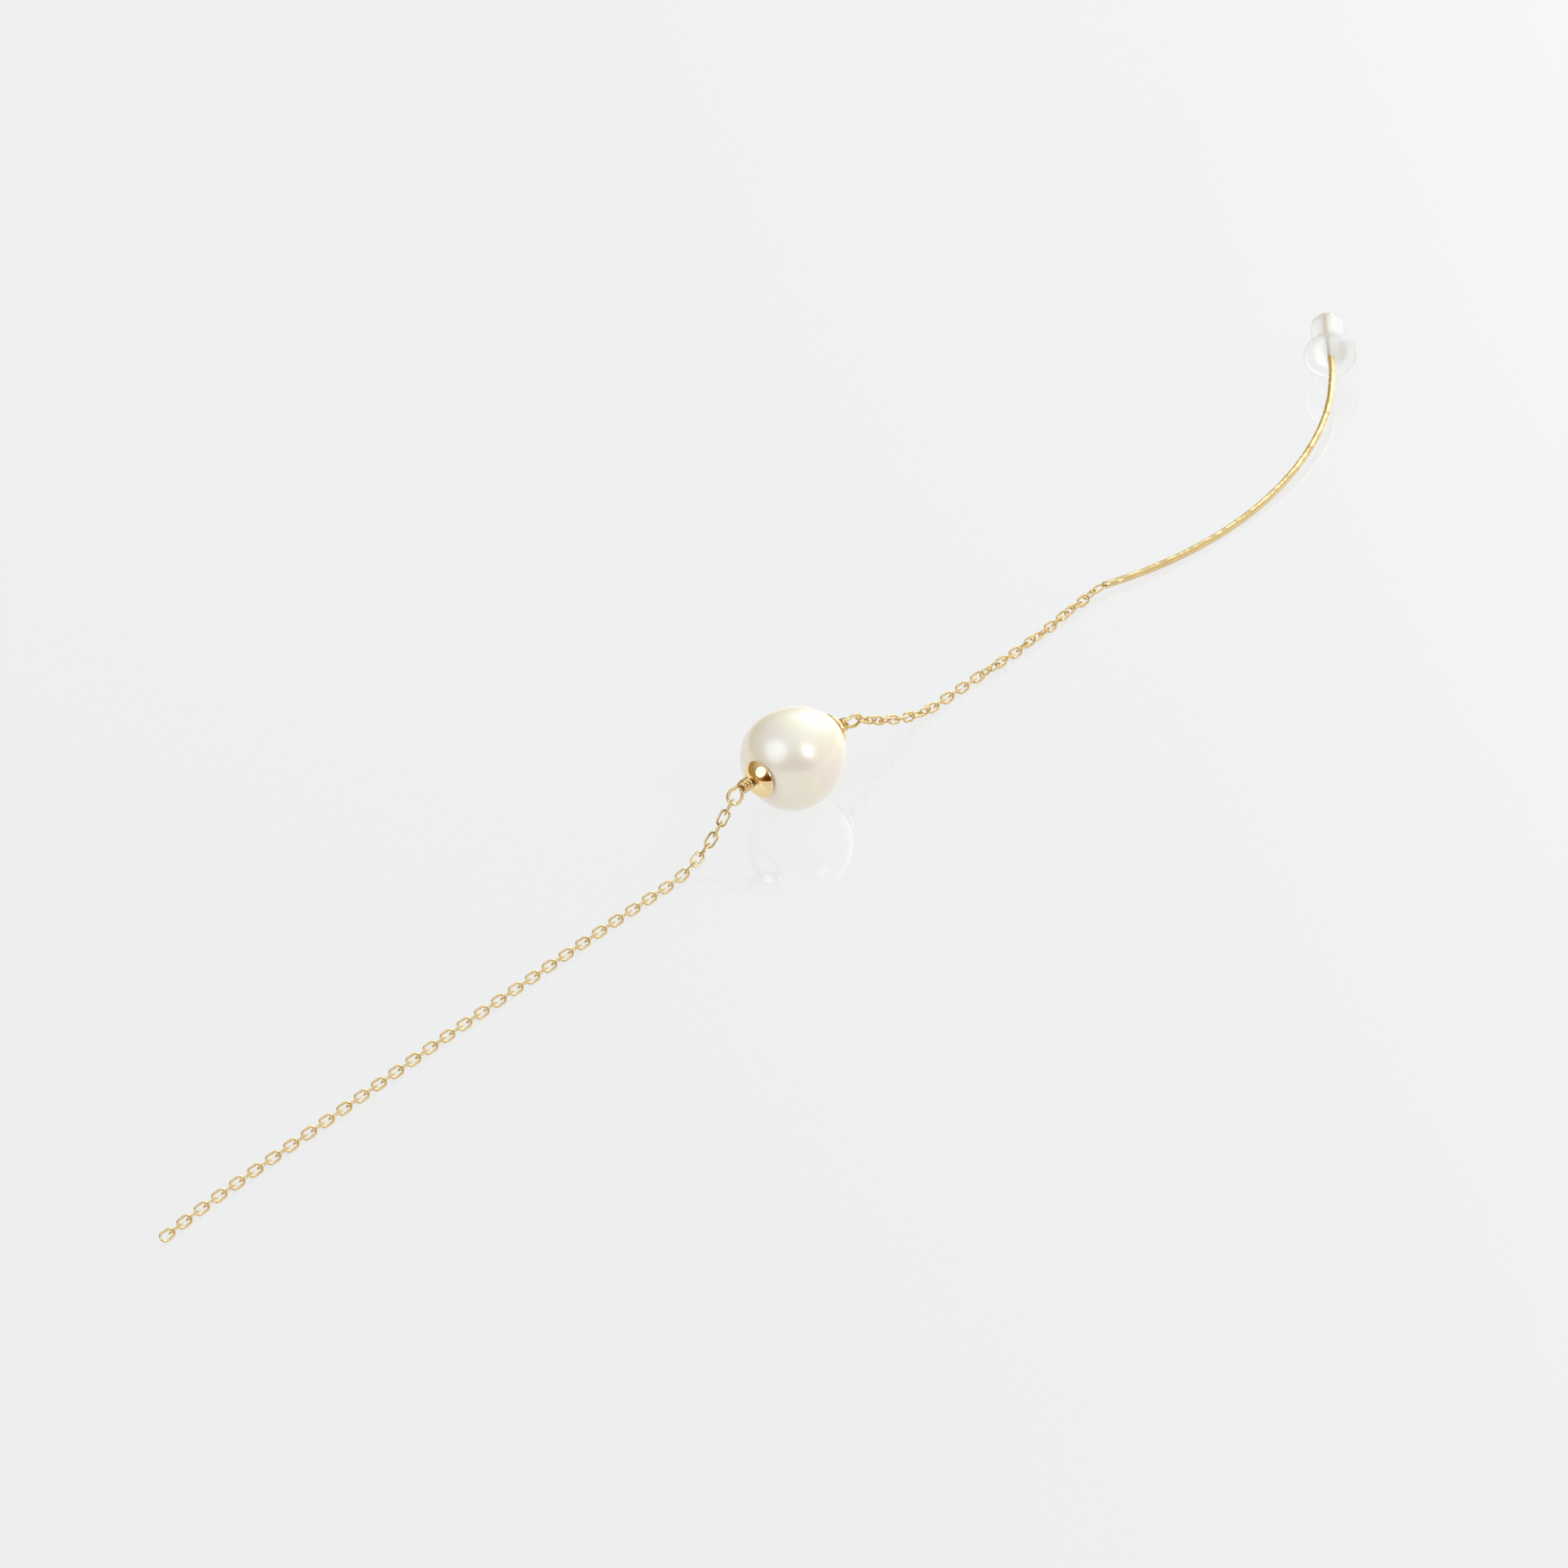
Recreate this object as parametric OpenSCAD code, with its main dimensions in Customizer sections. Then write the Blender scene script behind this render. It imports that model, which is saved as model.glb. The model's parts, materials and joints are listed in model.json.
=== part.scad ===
// Threader earring, lying on a flat surface: a bowed ear wire with a clear stopper on its tip,
// a short chain, a pearl between two bead caps on a wrapped wire, and a long chain with a free end.
// X runs along the earring from the free chain end to the tip of the ear wire, Z is up,
// and the origin is under the middle of the whole earring. Millimetres and degrees.

/* [Pearl] */
// Diameter of the pearl across its drill hole
pearl_d = 8.1; // [6.5:0.1:10]
// Length of the pearl along its drill hole
pearl_len = 8.76; // [7:0.01:10]
// Distance of the pearl's widest place from its middle, towards the long chain
pearl_swell = 0.58; // [0:0.01:0.7]
// Diameter of the drill hole
drill_d = 0.6; // [0.45:0.05:0.9]
// Height of the drill hole above the middle of the pearl
hole_rise = 0.22; // [0:0.01:0.4]
// Room between the pearl and the cap on the short chain's side
upper_room = 0.36; // [0.1:0.01:0.6]
// Room between the pearl and the cap on the long chain's side
lower_room = 0.12; // [0.12:0.01:1.6]
// Slope of the wire through the pearl, down towards the ear wire
pearl_slope = 1.7; // [0:0.1:4]
// Turn of the wire through the pearl, seen from above
pearl_turn = -1.2; // [-4:0.1:4]

/* [Bead caps] */
// Diameter of a bead cap over its rim
cap_d = 3.05; // [2.6:0.05:4]
// Height of a bead cap
cap_h = 0.95; // [0.7:0.05:1.2]
// Diameter of the hole in a bead cap
cap_hole_d = 0.72; // [0.5:0.02:0.8]
// Lean of both bead caps on their wire
cap_lean = 4; // [0:0.5:5]
// Thickness of a bead cap's sheet
cap_wall = 0.14; // [0.1:0.01:0.2]
// Thickness of a bead cap's rolled rim
cap_rim_t = 0.22; // [0.2:0.01:0.3]

/* [Pearl wire] */
// Diameter of the wire through the pearl
wire_d = 0.27; // [0.24:0.01:0.28]
// Turns in the wrap on the short chain's side
upper_turns = 1.9; // [1.5:0.05:4]
// Turns in the wrap on the long chain's side
lower_turns = 3.1; // [1.5:0.05:4]
// Wire between a wrap and its eye
neck_len = 0.1; // [0.05:0.05:0.4]
// Length of an eye, inside
eye_len = 1.34; // [1.2:0.02:2]
// Width of an eye, inside
eye_w = 0.8; // [0.7:0.02:1.2]
// Roll of the eye on the short chain's side about its wire
upper_eye_roll = 100; // [0:5:180]
// Roll of the eye on the long chain's side about its wire
lower_eye_roll = 150; // [0:5:180]
// Length of the cut end that stands off the wrap on the short chain's side
tail_len = 0.28; // [0.1:0.01:0.5]

/* [Chains] */
// Diameter of a link's wire
link_wire_d = 0.19; // [0.16:0.01:0.21]
// Width of a link, outside
link_w = 0.87; // [0.84:0.01:1.1]
// Length of a link, outside
link_len = 1.52; // [1.5:0.01:1.8]
// Distance from one link to the next where the chain lies loose
link_pitch = 0.968; // [0.94:0.001:1]
// Distance from one link to the next where the chain hangs from the pearl wire
taut_pitch = 1.004; // [0.98:0.001:1.02]
// Taut links at the start of the short chain
taut_links = 9; // [0:1:12]
// Links in the long chain
long_links = 68; // [50:1:74]
// Links in the short chain
short_links = 32; // [29:1:36]

/* [Ear wire] */
// Diameter of the ear wire
ear_wire_d = 0.6; // [0.5:0.05:0.8]
// Length of the ear wire along its curve
ear_wire_len = 48.6; // [40:0.1:55]
// Bend radius of the ear wire towards the chain
bow_r = 43.3; // [38:0.1:60]
// Bend radius of the ear wire towards the tip
tip_bow_r = 34.1; // [28:0.1:45]
// Angle through which the ear wire turns at the smaller radius
tip_bow_a = 20.6; // [10:0.1:26]
// Angle that the ear wire turns from its chain end to where it touches the surface
touch_a = 15.8; // [8:0.1:22]
// Direction of the ear wire where it touches the surface, from the X axis
lay_a = -4.9; // [-15:0.1:5]

/* [Stopper] */
// Diameter of the stopper's flange
flange_d = 4.6; // [3.8:0.1:6]
// Thickness of the flange
flange_t = 0.9; // [0.7:0.05:1.2]
// Diameter of the stopper's barrel
barrel_d = 2.9; // [2.4:0.1:3.4]
// Length of the whole stopper
stopper_len = 5.8; // [4.8:0.1:7]
// Length of wire that shows past the stopper
tip_out = 0.35; // [0.31:0.01:1]

/* [Clearances] */
// Clearance between a link and the eye or the ear wire's end that it hangs on
hook_gap = 0.15; // [0.12:0.01:0.18]
// Clearance between the turns of a wrap
wrap_gap = 0.05; // [0.02:0.01:0.06]
// Clearance between a wrap and the wire that it goes round
wrap_room = 0.14; // [0.05:0.01:0.18]
// Clearance between a bead cap and the pearl or the wrap
cap_gap = 0.05; // [0.03:0.01:0.1]
// Clearance of the stopper's hole around the ear wire, on the radius
stopper_gap = 0.04; // [0.02:0.01:0.08]
// Straight wire between the bow and the stopper
stopper_lead = 0.3; // [0.1:0.05:1]

/* [Hidden] */
$fn = 32;

GOLD = "#d9a441";
PEARL = "#efe6d6";
CLEAR = "#e6ecee";

// Route of each chain, chosen by eye: distance from the eye, sideways from the pearl's middle, and
// height as a share of the eye's height over a lying chain. It starts at the eye all the same.
LONG_ROUTE = [
    [0, -0.32, 1], [0.7, -0.2, 0.8], [1.4, -0.1, 0.6], [2.15, -0.02, 0.42], [3, 0.04, 0.285],
    [3.8, 0.07, 0.185], [4.7, 0.09, 0.095], [5.6, 0.11, 0.03], [6.6, 0.12, 0], [9.5, 0.17, 0],
    [13.5, 0.26, 0], [17.4, 0.31, 0], [29, 0.4, 0], [33, 0.42, 0], [44.5, 0.32, 0], [54.4, 0.3, 0],
    [58.2, 0.27, 0], [60.2, 0.2, 0], [62.2, 0.09, 0], [64.4, -0.05, 0]
];
SHORT_ROUTE = [
    [0, -0.18, 1], [0.9, -0.2, 0.85], [1.8, -0.22, 0.7], [2.75, -0.25, 0.555], [3.7, -0.27, 0.425],
    [4.7, -0.29, 0.305], [5.6, -0.32, 0.205], [6.8, -0.34, 0.1], [7.8, -0.36, 0.04], [9, -0.38, 0],
    [11.6, -0.4, 0], [13.5, -0.44, 0], [15.5, -0.55, 0], [17.5, -0.66, 0], [19.5, -0.6, 0],
    [22.5, -0.58, 0], [24.2, -0.5, 0], [25.7, -0.35, 0], [27.4, -0.26, 0], [29, -0.2, 0],
    [30.2, -0.15, 0], [31.6, -0.25, 0]
];
// Twist of each chain: link number counted from the eye, and the roll added from there
LONG_TWIST = [[0, -45], [66, -45], [67, -35]];
SHORT_TWIST = [
    [0, -76], [2, -45], [4, -45], [10, 45], [14, 45], [20, -45], [25, 45], [30, -35], [32, 0]
];

function unit(v) = v / norm(v);
function last(list) = list[len(list) - 1];
function clamp01(t) = min(max(t, 0), 1);

// A straight-line table look-up of rows [key, value]
function look_up(table, key) =
    key <= table[0][0] ? table[0][1]
    : key >= last(table)[0] ? last(table)[1]
    : let(k = max([for (i = [0 : len(table) - 2]) if (table[i][0] <= key) i]),
          t = (key - table[k][0]) / (table[k + 1][0] - table[k][0]))
      table[k][1] * (1 - t) + table[k + 1][1] * t;

// A smooth curve through chosen points
function curve_point(a, b, c, d, t) =
    (2 * b + (c - a) * t + (2 * a - 5 * b + 4 * c - d) * t * t + (3 * b - a - 3 * c + d) * t * t * t) / 2;
function curve(points, steps = 8) = [
    for (i = [0 : len(points) - 2])
        let(a = i == 0 ? 2 * points[0] - points[1] : points[i - 1],
            d = i == len(points) - 2 ? 2 * points[i + 1] - points[i] : points[i + 2])
        for (j = [0 : steps - 1]) curve_point(a, points[i], points[i + 1], d, j / steps),
    last(points)
];
function lengths(points) = [
    for (i = 0, s = 0; i < len(points);
         s = s + (i < len(points) - 1 ? norm(points[i + 1] - points[i]) : 0), i = i + 1) s
];
// The point at distance s along a curve, which runs on straight past both ends
function along(points, sums, s) =
    s <= 0 ? points[0] + unit(points[1] - points[0]) * s
    : s >= last(sums) ? last(points) + unit(last(points) - points[len(points) - 2]) * (s - last(sums))
    : let(k = max([for (i = [0 : len(sums) - 2]) if (sums[i] <= s) i]))
      points[k] + unit(points[k + 1] - points[k]) * (s - sums[k]);

// Pearl, caps and the wire through them. A half of the wire is measured outwards from its middle.
pearl_r = pearl_d / 2;
wire_r = wire_d / 2;
rim_mid_r = cap_d / 2 - cap_rim_t / 2;
upper_half_len = pearl_len / 2 + pearl_swell;
lower_half_len = pearl_len / 2 - pearl_swell;
// Where a cap's rim meets a half of the pearl that is half_len long
function seat_x(half_len) =
    let(x = half_len * sqrt(1 - pow(rim_mid_r / pearl_r, 2)),
        a = atan2(rim_mid_r / pow(pearl_r, 2), x / pow(half_len, 2)))
    x + (cap_rim_t / 2 + cap_gap) / cos(a) - cap_rim_t / 2;
upper_rim_x = seat_x(upper_half_len) + upper_room;
lower_rim_x = seat_x(lower_half_len) + lower_room;
rim_x = (upper_rim_x + lower_rim_x) / 2;
wire_shift = (upper_rim_x - lower_rim_x) / 2;
wrap_x = rim_x + cap_h + cap_gap;
wrap_start_r = wire_d + wrap_gap;
wrap_r = wire_d + wrap_room;
eye_a = (eye_len + wire_d) / 2;
eye_b = (eye_w + wire_d) / 2;
function neck_x(turns) = wrap_x + turns * (wire_d + wrap_gap) + wire_d + neck_len;
upper_neck = [neck_x(upper_turns), 0, 0];
lower_neck = [neck_x(lower_turns), 0, 0];
pearl_z = sqrt(pow(pearl_r * cos(pearl_slope), 2) + pow(upper_half_len * sin(pearl_slope), 2));
pearl_half_y = sqrt(pow(pearl_r * cos(pearl_turn), 2) + pow(upper_half_len * sin(pearl_turn), 2));

// Turns by [roll, dip, turn] about X, Y and Z, in that order
function turned(p, a) =
    let(y1 = p[1] * cos(a[0]) - p[2] * sin(a[0]), z1 = p[1] * sin(a[0]) + p[2] * cos(a[0]),
        x2 = p[0] * cos(a[1]) + z1 * sin(a[1]), z2 = z1 * cos(a[1]) - p[0] * sin(a[1]))
    [x2 * cos(a[2]) - y1 * sin(a[2]), x2 * sin(a[2]) + y1 * cos(a[2]), z2];
// From a half of the pearl wire, way 1 for the ear wire's side and -1 for the other, to the whole
// wire, and on to where the earring lies
function in_wire(p, way) = [wire_shift + way * p[0], way * p[1], hole_rise + p[2]];
function in_place(p) = turned(p, [0, pearl_slope, pearl_turn]) + [0, 0, pearl_z];
UPPER_EYE_TURN = [upper_eye_roll, 18, 0];
LOWER_EYE_TURN = [lower_eye_roll, 17, 15];
upper_eye = in_place(in_wire(upper_neck + turned([2 * eye_a, 0, 0], UPPER_EYE_TURN), 1));
lower_eye = in_place(in_wire(lower_neck + turned([2 * eye_a, 0, 0], LOWER_EYE_TURN), -1));

// Links: two half rings joined by two straight sides
link_wire_r = link_wire_d / 2;
bend_r = (link_w - link_wire_d) / 2;
side_half = (link_len - link_w) / 2;
end_wire_x = link_len / 2 - link_wire_r;
first_link_s = end_wire_x - link_wire_r - wire_r - hook_gap;
lying_z = link_wire_r + bend_r * sin(45);

// Ear wire in its own plane, from its chain end, and the tilt that sets the flange on the surface
ear_wire_r = ear_wire_d / 2;
tip_len = stopper_lead + stopper_len + tip_out;
tip_bow_len = tip_bow_r * tip_bow_a * PI / 180;
bow_a = (ear_wire_len - tip_bow_len - tip_len) / bow_r * 180 / PI;
bow_end_a = bow_a - touch_a;
tip_a = bow_end_a + tip_bow_a;
bow_end = bow_r * [sin(bow_end_a) + sin(touch_a), cos(touch_a) - cos(bow_end_a)];
tip_start = bow_end + tip_bow_r * [sin(tip_a) - sin(bow_end_a), cos(bow_end_a) - cos(tip_a)];
touch_y = -bow_r * (1 - cos(touch_a));
edge_r = flange_t / 2;
flange_y = tip_start[1] + (stopper_lead + edge_r) * sin(tip_a) - touch_y;
edge_ring_r = flange_d / 2 - edge_r;
edge_drop = ear_wire_r - edge_r;
tilt_k = pow(flange_y, 2) + pow(edge_ring_r * sin(tip_a), 2);
tilt_root = pow(edge_drop * flange_y, 2) - tilt_k * (pow(edge_drop, 2) - pow(edge_ring_r, 2));
tilt = asin((sqrt(tilt_root) - edge_drop * flange_y) / tilt_k);
chain_end_z = ear_wire_r - touch_y * sin(tilt);

// Roll of link i about the chain, and the height that keeps its lower side on the surface
function roll(twist, i) = (i % 2 == 0 ? 90 : 0) + look_up(twist, i);
function rest_z(twist, i) = link_wire_r + bend_r * abs(sin(roll(twist, i)));

// The points between the links, of which the first "taut" ones are taut_pitch apart. The chain
// ends at height end_z, or lies on the surface to its end.
function joint_points(eye, way, route, twist, count, taut, end_z) =
    let(rise = eye[2] - lying_z,
        first_pitch = taut > 0 ? taut_pitch : link_pitch,
        side = eye[1] - route[0][1],
        points = curve([
            for (p = route) [eye[0] + way * p[0], p[1] + p[2] * side, lying_z + p[2] * rise]
        ]),
        sums = lengths(points))
    [for (i = [0 : count])
        let(s = first_link_s - first_pitch / 2 + i * link_pitch + min(i, taut) * (taut_pitch - link_pitch),
            p = along(points, sums, s),
            floor_z = max(rest_z(twist, max(i - 1, 0)), rest_z(twist, min(i, count - 1))),
            z = max(p[2], floor_z),
            share = end_z > 0 ? clamp01((i - count + 3) / 3) : 0)
        [p[0], p[1], z * (1 - share) + end_z * share]];

long_joints = joint_points(lower_eye, -1, LONG_ROUTE, LONG_TWIST, long_links, 0, 0);
short_joints =
    joint_points(upper_eye, 1, SHORT_ROUTE, SHORT_TWIST, short_links + 1, taut_links, chain_end_z);

// The ear wire starts at the far end of the link that is soldered to it
solder_way = unit(last(short_joints) - short_joints[short_links]);
solder_point = (last(short_joints) + short_joints[short_links]) / 2 + solder_way * end_wire_x;
bar_start = [solder_point[0], solder_point[1], chain_end_z];

// Where a point of the ear wire's plane comes to lie
function lay(p) =
    let(y = p[1] * cos(tilt))
    bar_start + [
        p[0] * cos(lay_a) - y * sin(lay_a), p[0] * sin(lay_a) + y * cos(lay_a), p[1] * sin(tilt)
    ];

// The box of the whole earring, which puts the origin under its middle
tip_ball = lay(tip_start + (tip_len - ear_wire_r) * [cos(tip_a), sin(tip_a)]);
barrel_ball = lay(tip_start + (stopper_lead + stopper_len - barrel_d / 2) * [cos(tip_a), sin(tip_a)]);
far_x = max(tip_ball[0] + ear_wire_r, barrel_ball[0] + barrel_d / 2);
far_y = max(tip_ball[1] + ear_wire_r, barrel_ball[1] + barrel_d / 2);
free_way = unit(long_joints[long_links] - long_joints[long_links - 1]);
free_end_x = (long_joints[long_links] + long_joints[long_links - 1])[0] / 2
    + side_half * free_way[0] - bend_r - link_wire_r;
box_mid = [(free_end_x + far_x) / 2, (far_y - pearl_half_y) / 2, 0];

// One link, lying in the XY plane along X
module link() {
    for (turn = [0, 180])
        rotate([0, 0, turn]) translate([side_half, 0, 0]) rotate([0, 0, -90])
            rotate_extrude(angle = 180) translate([bend_r, 0]) circle(d = link_wire_d);
    for (side = [-1, 1])
        translate([0, side * bend_r, 0]) rotate([0, 90, 0])
            cylinder(h = 2 * side_half, d = link_wire_d, center = true);
}

// Puts a link between two joint points, rolled about the chain
module between(a, b, angle) {
    way = unit(b - a);
    level = unit(cross([0, 0, 1], way));
    rise = cross(way, level);
    wide = level * cos(angle) + rise * sin(angle);
    face = cross(way, wide);
    mid = (a + b) / 2;
    multmatrix([
        [way[0], wide[0], face[0], mid[0]],
        [way[1], wide[1], face[1], mid[1]],
        [way[2], wide[2], face[2], mid[2]],
        [0, 0, 0, 1]
    ]) children();
}

module chain(joints, twist, count) {
    for (i = [0 : count - 1])
        between(joints[i], joints[i + 1], roll(twist, i)) link();
}

module chain_long() {
    color(GOLD) translate(-box_mid) chain(long_joints, LONG_TWIST, long_links);
}

module chain_short() {
    color(GOLD) translate(-box_mid) chain(short_joints, SHORT_TWIST, short_links);
}

// A tube along a line, with its radius at each point, and n sides
module tube(line, radii, n) {
    count = len(line);
    ways = [for (i = [0 : count - 1]) unit(line[min(i + 1, count - 1)] - line[max(i - 1, 0)])];
    first = unit(cross(ways[0], [0.3, 0.9, 0.2]));
    sides = [
        for (i = 0, u = first; i < count;
             i = i + 1, u = i < count ? unit(u - (u * ways[i]) * ways[i]) : u) u
    ];
    ring = [
        for (i = [0 : count - 1]) let(v = cross(ways[i], sides[i]))
            for (j = [0 : n - 1])
                line[i] + radii[i] * (cos(360 * j / n) * sides[i] + sin(360 * j / n) * v)
    ];
    faces = concat(
        [[for (j = [0 : n - 1]) j]],
        [for (i = [0 : count - 2]) for (j = [0 : n - 1])
            let(a = i * n + j, b = i * n + (j + 1) % n) each [[a, b + n, b], [a, a + n, b + n]]],
        [[for (j = [n - 1 : -1 : 0]) (count - 1) * n + j]]
    );
    polyhedron(ring, faces);
}

// Puts children in the ear wire's plane, with its chain end at the origin
module in_bar_plane() {
    translate(bar_start - box_mid) rotate([0, 0, lay_a]) rotate([tilt, 0, 0]) children();
}

// The ear wire's line in its own plane, rows [x, y, radius], with both ends rounded
BOW_STEPS = 26;
TIP_BOW_STEPS = 12;
start_way = [cos(-touch_a), sin(-touch_a)];
tip_way = [cos(tip_a), sin(tip_a)];
START_ROUND = 0.12;
bar_rows = concat(
    [for (a = [60, 30]) let(p = (START_ROUND - START_ROUND * sin(a)) * start_way)
        [p[0], p[1], ear_wire_r - START_ROUND * (1 - cos(a))]],
    [for (i = [1 : BOW_STEPS - 1])
        let(a = -touch_a + bow_a * i / BOW_STEPS)
        [bow_r * (sin(a) + sin(touch_a)), bow_r * (cos(touch_a) - cos(a)), ear_wire_r]],
    [for (i = [0 : TIP_BOW_STEPS])
        let(a = bow_end_a + tip_bow_a * i / TIP_BOW_STEPS)
        [bow_end[0] + tip_bow_r * (sin(a) - sin(bow_end_a)),
         bow_end[1] + tip_bow_r * (cos(bow_end_a) - cos(a)), ear_wire_r]],
    [for (a = [0, 30, 55, 75])
        let(p = tip_start + (tip_len - ear_wire_r + ear_wire_r * sin(a)) * tip_way)
        [p[0], p[1], ear_wire_r * cos(a)]]
);

module ear_wire() {
    color(GOLD) {
        in_bar_plane()
            tube([for (row = bar_rows) [row[0], row[1], 0]], [for (row = bar_rows) row[2]], 16);
        translate(-box_mid)
            between(short_joints[short_links], last(short_joints), roll(SHORT_TWIST, short_links)) link();
    }
}

// Half profile of the stopper: distance from its axis, distance from its flange face
barrel_r = barrel_d / 2;
neck_r = min(0.6, edge_ring_r - barrel_r - 0.05);
function stopper_profile(hole_r) = concat(
    [[hole_r, 0]],
    [for (a = [-90 : 15 : 90]) [edge_ring_r + edge_r * cos(a), edge_r + edge_r * sin(a)]],
    [for (a = [270 : -15 : 180]) [barrel_r + neck_r * (1 + cos(a)), flange_t + neck_r * (1 + sin(a))]],
    [for (a = [0 : 10 : 90]) if (barrel_r * cos(a) > hole_r)
        [barrel_r * cos(a), stopper_len - barrel_r + barrel_r * sin(a)]],
    [[hole_r, stopper_len - barrel_r + sqrt(barrel_r * barrel_r - hole_r * hole_r)]]
);

module stopper() {
    hole_r = ear_wire_r + stopper_gap;
    color(CLEAR, 0.5)
        in_bar_plane() translate([tip_start[0], tip_start[1], 0]) rotate([0, 0, tip_a])
            translate([stopper_lead, 0, 0]) rotate([0, 90, 0])
                rotate_extrude() polygon(stopper_profile(hole_r));
}

// Puts children where the pearl wire lies, with the middle of the pearl at the origin
module on_pearl() {
    translate([0, 0, pearl_z] - box_mid) rotate([0, pearl_slope, pearl_turn]) children();
}

PEARL_STEPS = 30;
module pearl() {
    color(PEARL) on_pearl() difference() {
        rotate([0, 90, 0]) rotate_extrude()
            polygon([for (i = [0 : PEARL_STEPS])
                let(a = 180 * i / PEARL_STEPS - 90)
                [pearl_r * cos(a), (a > 0 ? upper_half_len : lower_half_len) * sin(a)]]);
        translate([0, 0, hole_rise]) rotate([0, 90, 0])
            cylinder(h = 2 * pearl_len, d = drill_d, center = true);
    }
}

// Half profile of a bead cap: a domed sheet with a hole at its top and a rolled rim
module cap_profile() {
    rise = cap_h - cap_rim_t / 2;
    dome_r = (pow(cap_d / 2, 2) + pow(rise, 2)) / (2 * rise);
    centre_z = cap_h - dome_r;
    inner_r = dome_r - cap_wall;
    hole_r = cap_hole_d / 2;
    outer_top_a = asin(hole_r / dome_r);
    inner_top_a = asin(hole_r / inner_r);
    outer_low_a = asin(cap_d / 2 / dome_r);
    inner_low_a = acos((0.75 * cap_rim_t - centre_z) / inner_r);
    steps = 8;
    polygon(concat(
        [for (i = [0 : steps - 1])
            let(a = outer_top_a + (outer_low_a - outer_top_a) * i / steps)
            [dome_r * sin(a), centre_z + dome_r * cos(a)]],
        [for (a = [0 : -15 : -195])
            [rim_mid_r + cap_rim_t / 2 * cos(a), cap_rim_t / 2 * (1 + sin(a))]],
        [for (i = [steps : -1 : 0])
            let(a = inner_top_a + (inner_low_a - inner_top_a) * i / steps)
            [inner_r * sin(a), centre_z + inner_r * cos(a)]]
    ));
}

// A bead cap on one half of the wire, lower on it by "drop", leaning about the top of its dome
module cap(way, drop) {
    color(GOLD) on_pearl() translate([wire_shift, 0, hole_rise - drop]) rotate([0, 0, way > 0 ? 0 : 180])
        translate([rim_x + cap_h, 0, 0]) rotate([0, -cap_lean / 2, -cap_lean]) translate([-cap_h, 0, 0])
            rotate([0, 90, 0]) rotate_extrude() cap_profile();
}

module cap_upper() { cap(1, 0); }
module cap_lower() { cap(-1, 0.15); }

// Half of the wire's line, from its straight part out to an eye and back in a wrap round itself
EYE_STEPS = 18;
TURN_STEPS = 14;
EYE_START_A = 20;
WIDEN_STEPS = 5;
eye_stop_a = 360 - asin(wrap_start_r / eye_b);
function half_line(turns, eye_turn, tail) =
    let(neck = [neck_x(turns), 0, 0],
        wrap_start_x = neck[0] - neck_len - wire_r,
        steps = floor(turns * TURN_STEPS),
        wrap = [for (i = [0 : steps])
            let(a = eye_turn[0] - 360 * i / TURN_STEPS,
                r = wrap_start_r + (wrap_r - wrap_start_r) * min(i / WIDEN_STEPS, 1))
            [wrap_start_x - (wire_d + wrap_gap) * i / TURN_STEPS, r * cos(a), r * sin(a)]])
    concat(
        [[neck[0] - 0.3 * eye_a, 0, 0]],
        [for (i = [0 : EYE_STEPS])
            let(a = EYE_START_A + (eye_stop_a - EYE_START_A) * i / EYE_STEPS)
            neck + turned([eye_a * (1 - cos(a)), -eye_b * sin(a), 0], eye_turn)],
        wrap,
        [if (tail > 0) last(wrap) + tail * unit(last(wrap) - wrap[steps - 1])]
    );
upper_half = half_line(upper_turns, UPPER_EYE_TURN, tail_len);
lower_half = half_line(lower_turns, LOWER_EYE_TURN, 0);
wire_line = concat(
    [for (i = [len(lower_half) - 1 : -1 : 0]) in_wire(lower_half[i], -1)],
    [for (p = upper_half) in_wire(p, 1)]
);

module pearl_wire() {
    color(GOLD) on_pearl() tube(wire_line, [for (p = wire_line) wire_r], 6);
}

ear_wire();
stopper();
chain_short();
cap_upper();
pearl();
pearl_wire();
cap_lower();
chain_long();
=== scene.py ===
"""Looks of a threader earring: ear wire, clear stopper, fine cable chain and a capped pearl.

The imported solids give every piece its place. Lengths are in metres, and sizes are given as
millimetres times MM.
"""

import json
import math

import bmesh
import bpy
import numpy as np
from bpy.props import FloatProperty, IntProperty, PointerProperty, StringProperty
from mathutils import Matrix, Vector, noise


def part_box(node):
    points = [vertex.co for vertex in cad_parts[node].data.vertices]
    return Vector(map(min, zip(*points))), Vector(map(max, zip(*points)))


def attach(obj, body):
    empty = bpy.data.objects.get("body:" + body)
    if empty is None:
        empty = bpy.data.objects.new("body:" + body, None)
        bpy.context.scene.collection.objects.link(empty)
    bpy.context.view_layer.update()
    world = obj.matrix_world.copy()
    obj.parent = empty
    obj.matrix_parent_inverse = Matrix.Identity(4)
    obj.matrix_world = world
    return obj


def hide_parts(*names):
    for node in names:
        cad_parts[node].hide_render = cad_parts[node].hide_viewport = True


bl_info = {
    "name": "Threader Earring",
    "version": (1, 0, 0),
    "blender": (4, 5, 0),
    "location": "View3D > Sidebar > Earring",
    "description": "Pearl threader earring with chains, bead caps and a stopper",
    "category": "Add Mesh",
}

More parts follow.
